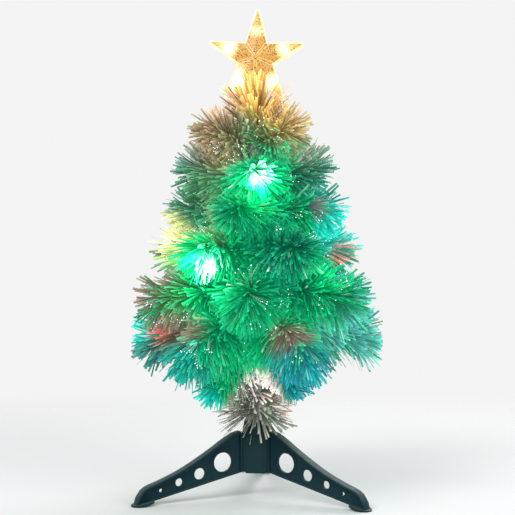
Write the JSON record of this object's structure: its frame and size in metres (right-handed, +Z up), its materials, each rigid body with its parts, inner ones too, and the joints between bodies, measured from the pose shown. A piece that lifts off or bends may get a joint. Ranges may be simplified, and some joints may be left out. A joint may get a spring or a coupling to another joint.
{
  "type": "fiber optic christmas tree",
  "caption": "Tabletop tree on a plug-in leg stand, with fold-up wire branches of flat film needles, lamps on branch ends and a lit clear star that lifts off the trunk.",
  "frame": {"origin": "on the floor, under the trunk's axis", "axes": "+Z up along the trunk, -Y to the front, where the star faces and two of the three legs point"},
  "size_m": [0.3354, 0.3362, 0.64],
  "materials": {
    "stand_plastic": "moulded, satin",
    "white_plastic": "moulded, satin",
    "circuit_board": "solder mask",
    "trunk_tube": "coated steel tube",
    "optical_fibre": "clear fibre",
    "needle_film": "glossy film strips, lit green",
    "pale_film": "glossy film strips",
    "clear_plastic": "clear, pebbled, lit amber",
    "star_lamp": "lit lamp",
    "branch_lamp": "lit lamp"
  },
  "bodies": {
    "stand": {"stand_hub": "stand_plastic", "hub_bottom_cap": "stand_plastic", "power_inlet": "white_plastic", "light_engine": "circuit_board"},
    "left_leg": {"leg_left": "stand_plastic"},
    "right_leg": {"leg_right": "stand_plastic"},
    "back_leg": {"leg_back": "stand_plastic"},
    "trunk": {"trunk_pole": "trunk_tube", "trunk_wrap": "white_plastic", "fibre_bundle": "optical_fibre", "trunk_top_plug": "white_plastic", "top_tuft": "pale_film", "lower_tuft": "pale_film"},
    "star": {"star_front": "clear_plastic", "star_back": "clear_plastic", "star_socket": "white_plastic", "star_board": "circuit_board", "star_lamp_1": "star_lamp", "star_lamp_2": "star_lamp", "star_lamp_3": "star_lamp", "star_lamp_4": "star_lamp", "star_lamp_5": "star_lamp"},
    "tier_2_branch_1": {"tier_2_branch_1": "needle_film"},
    "tier_1_branch_1": {"tier_1_branch_1": "needle_film"},
    "tier_1_branch_2": {"tier_1_branch_2": "needle_film"},
    "tier_1_branch_3": {"tier_1_branch_3": "needle_film"},
    "tier_1_branch_4": {"tier_1_branch_4": "needle_film"},
    "tier_2_branch_2": {"tier_2_branch_2": "needle_film"},
    "tier_2_branch_3": {"tier_2_branch_3": "needle_film"},
    "tier_2_branch_4": {"tier_2_branch_4": "needle_film"},
    "tier_2_branch_5": {"tier_2_branch_5": "needle_film", "lamp_tier_2_branch_5": "branch_lamp"},
    "tier_2_branch_6": {"tier_2_branch_6": "needle_film"},
    "tier_3_branch_1": {"tier_3_branch_1": "needle_film"},
    "tier_3_branch_2": {"tier_3_branch_2": "needle_film"},
    "tier_3_branch_3": {"tier_3_branch_3": "needle_film"},
    "tier_3_branch_4": {"tier_3_branch_4": "needle_film"},
    "tier_3_branch_5": {"tier_3_branch_5": "needle_film"},
    "tier_3_branch_6": {"tier_3_branch_6": "needle_film", "lamp_tier_3_branch_6": "branch_lamp"},
    "tier_4_branch_1": {"tier_4_branch_1": "needle_film", "lamp_tier_4_branch_1": "branch_lamp"},
    "tier_4_branch_2": {"tier_4_branch_2": "needle_film"},
    "tier_4_branch_3": {"tier_4_branch_3": "needle_film"},
    "tier_4_branch_4": {"tier_4_branch_4": "needle_film"},
    "tier_4_branch_5": {"tier_4_branch_5": "needle_film"},
    "tier_5_branch_1": {"tier_5_branch_1": "needle_film", "lamp_tier_5_branch_1": "branch_lamp"},
    "tier_5_branch_2": {"tier_5_branch_2": "needle_film"},
    "tier_5_branch_3": {"tier_5_branch_3": "needle_film", "lamp_tier_5_branch_3": "branch_lamp"},
    "tier_5_branch_4": {"tier_5_branch_4": "needle_film"},
    "tier_6_branch_1": {"tier_6_branch_1": "needle_film", "lamp_tier_6_branch_1": "branch_lamp"},
    "tier_6_branch_2": {"tier_6_branch_2": "needle_film"},
    "tier_6_branch_3": {"tier_6_branch_3": "needle_film"},
    "tier_6_branch_4": {"tier_6_branch_4": "needle_film"},
    "tier_7_branch_1": {"tier_7_branch_1": "needle_film"},
    "tier_7_branch_2": {"tier_7_branch_2": "needle_film"},
    "tier_7_branch_3": {"tier_7_branch_3": "needle_film"}
  },
  "joints": [
    {"name": "left_leg_slide", "type": "slide", "parent": "stand", "child": "left_leg", "axis": [0, 0, -1], "range_m": [0, 0.045]},
    {"name": "right_leg_slide", "type": "slide", "parent": "stand", "child": "right_leg", "axis": [0, 0, -1], "range_m": [0, 0.045]},
    {"name": "back_leg_slide", "type": "slide", "parent": "stand", "child": "back_leg", "axis": [0, 0, -1], "range_m": [0, 0.045]},
    {"name": "trunk_lift", "type": "slide", "parent": "stand", "child": "trunk", "axis": [0, 0, 1], "range_m": [0, 0.042]},
    {"name": "star_lift", "type": "slide", "parent": "trunk", "child": "star", "axis": [0, 0, 1], "range_m": [0, 0.038]},
    {"name": "tier_2_branch_1_fold", "type": "hinge", "parent": "trunk", "child": "tier_2_branch_1", "pos_m": [0.01196, 0, 0.22413], "axis": [0, -1, 0], "range_deg": [0, 60]},
    {"name": "tier_1_branch_1_fold", "type": "hinge", "parent": "trunk", "child": "tier_1_branch_1", "pos_m": [0.00845, 0.00845, 0.16594], "axis": [0.7071, -0.7071, 0], "range_deg": [0, 60]},
    {"name": "tier_1_branch_2_fold", "type": "hinge", "parent": "trunk", "child": "tier_1_branch_2", "pos_m": [-0.00845, 0.00845, 0.16594], "axis": [0.7071, 0.7071, 0], "range_deg": [0, 60]},
    {"name": "tier_1_branch_3_fold", "type": "hinge", "parent": "trunk", "child": "tier_1_branch_3", "pos_m": [-0.00845, -0.00845, 0.16594], "axis": [-0.7071, 0.7071, 0], "range_deg": [0, 60]},
    {"name": "tier_1_branch_4_fold", "type": "hinge", "parent": "trunk", "child": "tier_1_branch_4", "pos_m": [0.00845, -0.00845, 0.16594], "axis": [-0.7071, -0.7071, 0], "range_deg": [0, 60]},
    {"name": "tier_2_branch_2_fold", "type": "hinge", "parent": "trunk", "child": "tier_2_branch_2", "pos_m": [0.00598, 0.01035, 0.22413], "axis": [0.866, -0.5, 0], "range_deg": [0, 60]},
    {"name": "tier_2_branch_3_fold", "type": "hinge", "parent": "trunk", "child": "tier_2_branch_3", "pos_m": [-0.00598, 0.01035, 0.22413], "axis": [0.866, 0.5, 0], "range_deg": [0, 60]},
    {"name": "tier_2_branch_4_fold", "type": "hinge", "parent": "trunk", "child": "tier_2_branch_4", "pos_m": [-0.01196, 0, 0.22413], "axis": [0, 1, 0], "range_deg": [0, 60]},
    {"name": "tier_2_branch_5_fold", "type": "hinge", "parent": "trunk", "child": "tier_2_branch_5", "pos_m": [-0.00598, -0.01035, 0.22413], "axis": [-0.866, 0.5, 0], "range_deg": [0, 60]},
    {"name": "tier_2_branch_6_fold", "type": "hinge", "parent": "trunk", "child": "tier_2_branch_6", "pos_m": [0.00598, -0.01035, 0.22413], "axis": [-0.866, -0.5, 0], "range_deg": [0, 60]},
    {"name": "tier_3_branch_1_fold", "type": "hinge", "parent": "trunk", "child": "tier_3_branch_1", "pos_m": [0.01035, 0.00598, 0.26802], "axis": [0.5, -0.866, 0], "range_deg": [0, 60]},
    {"name": "tier_3_branch_2_fold", "type": "hinge", "parent": "trunk", "child": "tier_3_branch_2", "pos_m": [0, 0.01196, 0.26802], "axis": [1, 0, 0], "range_deg": [0, 60]},
    {"name": "tier_3_branch_3_fold", "type": "hinge", "parent": "trunk", "child": "tier_3_branch_3", "pos_m": [-0.01035, 0.00598, 0.26802], "axis": [0.5, 0.866, 0], "range_deg": [0, 60]},
    {"name": "tier_3_branch_4_fold", "type": "hinge", "parent": "trunk", "child": "tier_3_branch_4", "pos_m": [-0.01035, -0.00598, 0.26802], "axis": [-0.5, 0.866, 0], "range_deg": [0, 60]},
    {"name": "tier_3_branch_5_fold", "type": "hinge", "parent": "trunk", "child": "tier_3_branch_5", "pos_m": [0, -0.01196, 0.26802], "axis": [-1, 0, 0], "range_deg": [0, 60]},
    {"name": "tier_3_branch_6_fold", "type": "hinge", "parent": "trunk", "child": "tier_3_branch_6", "pos_m": [0.01035, -0.00598, 0.26802], "axis": [-0.5, -0.866, 0], "range_deg": [0, 60]},
    {"name": "tier_4_branch_1_fold", "type": "hinge", "parent": "trunk", "child": "tier_4_branch_1", "pos_m": [-0.0072, -0.00955, 0.31989], "axis": [-0.7986, 0.6018, 0], "range_deg": [0, 60]},
    {"name": "tier_4_branch_2_fold", "type": "hinge", "parent": "trunk", "child": "tier_4_branch_2", "pos_m": [0.00686, -0.00979, 0.31989], "axis": [-0.8192, -0.5736, 0], "range_deg": [0, 60]},
    {"name": "tier_4_branch_3_fold", "type": "hinge", "parent": "trunk", "child": "tier_4_branch_3", "pos_m": [0.01143, 0.0035, 0.31989], "axis": [0.2924, -0.9563, 0], "range_deg": [0, 60]},
    {"name": "tier_4_branch_4_fold", "type": "hinge", "parent": "trunk", "child": "tier_4_branch_4", "pos_m": [0.00021, 0.01195, 0.31989], "axis": [0.9998, -0.0175, 0], "range_deg": [0, 60]},
    {"name": "tier_4_branch_5_fold", "type": "hinge", "parent": "trunk", "child": "tier_4_branch_5", "pos_m": [-0.0113, 0.00389, 0.31989], "axis": [0.3256, 0.9455, 0], "range_deg": [0, 60]},
    {"name": "tier_5_branch_1_fold", "type": "hinge", "parent": "trunk", "child": "tier_5_branch_1", "pos_m": [0.01177, -0.00208, 0.3681], "axis": [-0.1736, -0.9848, 0], "range_deg": [0, 54]},
    {"name": "tier_5_branch_2_fold", "type": "hinge", "parent": "trunk", "child": "tier_5_branch_2", "pos_m": [0.00208, 0.01177, 0.3681], "axis": [0.9848, -0.1736, 0], "range_deg": [0, 54]},
    {"name": "tier_5_branch_3_fold", "type": "hinge", "parent": "trunk", "child": "tier_5_branch_3", "pos_m": [-0.01177, 0.00208, 0.3681], "axis": [0.1736, 0.9848, 0], "range_deg": [0, 54]},
    {"name": "tier_5_branch_4_fold", "type": "hinge", "parent": "trunk", "child": "tier_5_branch_4", "pos_m": [-0.00208, -0.01177, 0.3681], "axis": [-0.9848, 0.1736, 0], "range_deg": [0, 54]},
    {"name": "tier_6_branch_1_fold", "type": "hinge", "parent": "trunk", "child": "tier_6_branch_1", "pos_m": [0.00042, -0.01195, 0.41598], "axis": [-0.9994, -0.0349, 0], "range_deg": [0, 45]},
    {"name": "tier_6_branch_2_fold", "type": "hinge", "parent": "trunk", "child": "tier_6_branch_2", "pos_m": [0.01195, 0.00042, 0.41598], "axis": [0.0349, -0.9994, 0], "range_deg": [0, 45]},
    {"name": "tier_6_branch_3_fold", "type": "hinge", "parent": "trunk", "child": "tier_6_branch_3", "pos_m": [-0.00042, 0.01195, 0.41598], "axis": [0.9994, 0.0349, 0], "range_deg": [0, 45]},
    {"name": "tier_6_branch_4_fold", "type": "hinge", "parent": "trunk", "child": "tier_6_branch_4", "pos_m": [-0.01195, -0.00042, 0.41598], "axis": [-0.0349, 0.9994, 0], "range_deg": [0, 45]},
    {"name": "tier_7_branch_1_fold", "type": "hinge", "parent": "trunk", "child": "tier_7_branch_1", "pos_m": [0.00916, -0.00768, 0.45787], "axis": [-0.6428, -0.766, 0], "range_deg": [0, 24]},
    {"name": "tier_7_branch_2_fold", "type": "hinge", "parent": "trunk", "child": "tier_7_branch_2", "pos_m": [0.00208, 0.01177, 0.45787], "axis": [0.9848, -0.1736, 0], "range_deg": [0, 24]},
    {"name": "tier_7_branch_3_fold", "type": "hinge", "parent": "trunk", "child": "tier_7_branch_3", "pos_m": [-0.01123, -0.00409, 0.45787], "axis": [-0.342, 0.9397, 0], "range_deg": [0, 24]}
  ],
  "couplings": [
    {"joint": "tier_1_branch_1_fold", "follows": "tier_2_branch_1_fold", "ratio": 1},
    {"joint": "tier_1_branch_2_fold", "follows": "tier_2_branch_1_fold", "ratio": 1},
    {"joint": "tier_1_branch_3_fold", "follows": "tier_2_branch_1_fold", "ratio": 1},
    {"joint": "tier_1_branch_4_fold", "follows": "tier_2_branch_1_fold", "ratio": 1},
    {"joint": "tier_2_branch_2_fold", "follows": "tier_2_branch_1_fold", "ratio": 1},
    {"joint": "tier_2_branch_3_fold", "follows": "tier_2_branch_1_fold", "ratio": 1},
    {"joint": "tier_2_branch_4_fold", "follows": "tier_2_branch_1_fold", "ratio": 1},
    {"joint": "tier_2_branch_5_fold", "follows": "tier_2_branch_1_fold", "ratio": 1},
    {"joint": "tier_2_branch_6_fold", "follows": "tier_2_branch_1_fold", "ratio": 1},
    {"joint": "tier_3_branch_1_fold", "follows": "tier_2_branch_1_fold", "ratio": 1},
    {"joint": "tier_3_branch_2_fold", "follows": "tier_2_branch_1_fold", "ratio": 1},
    {"joint": "tier_3_branch_3_fold", "follows": "tier_2_branch_1_fold", "ratio": 1},
    {"joint": "tier_3_branch_4_fold", "follows": "tier_2_branch_1_fold", "ratio": 1},
    {"joint": "tier_3_branch_5_fold", "follows": "tier_2_branch_1_fold", "ratio": 1},
    {"joint": "tier_3_branch_6_fold", "follows": "tier_2_branch_1_fold", "ratio": 1},
    {"joint": "tier_4_branch_1_fold", "follows": "tier_2_branch_1_fold", "ratio": 1},
    {"joint": "tier_4_branch_2_fold", "follows": "tier_2_branch_1_fold", "ratio": 1},
    {"joint": "tier_4_branch_3_fold", "follows": "tier_2_branch_1_fold", "ratio": 1},
    {"joint": "tier_4_branch_4_fold", "follows": "tier_2_branch_1_fold", "ratio": 1},
    {"joint": "tier_4_branch_5_fold", "follows": "tier_2_branch_1_fold", "ratio": 1},
    {"joint": "tier_5_branch_1_fold", "follows": "tier_2_branch_1_fold", "ratio": 0.9},
    {"joint": "tier_5_branch_2_fold", "follows": "tier_2_branch_1_fold", "ratio": 0.9},
    {"joint": "tier_5_branch_3_fold", "follows": "tier_2_branch_1_fold", "ratio": 0.9},
    {"joint": "tier_5_branch_4_fold", "follows": "tier_2_branch_1_fold", "ratio": 0.9},
    {"joint": "tier_6_branch_1_fold", "follows": "tier_2_branch_1_fold", "ratio": 0.75},
    {"joint": "tier_6_branch_2_fold", "follows": "tier_2_branch_1_fold", "ratio": 0.75},
    {"joint": "tier_6_branch_3_fold", "follows": "tier_2_branch_1_fold", "ratio": 0.75},
    {"joint": "tier_6_branch_4_fold", "follows": "tier_2_branch_1_fold", "ratio": 0.75},
    {"joint": "tier_7_branch_1_fold", "follows": "tier_2_branch_1_fold", "ratio": 0.4},
    {"joint": "tier_7_branch_2_fold", "follows": "tier_2_branch_1_fold", "ratio": 0.4},
    {"joint": "tier_7_branch_3_fold", "follows": "tier_2_branch_1_fold", "ratio": 0.4}
  ]
}
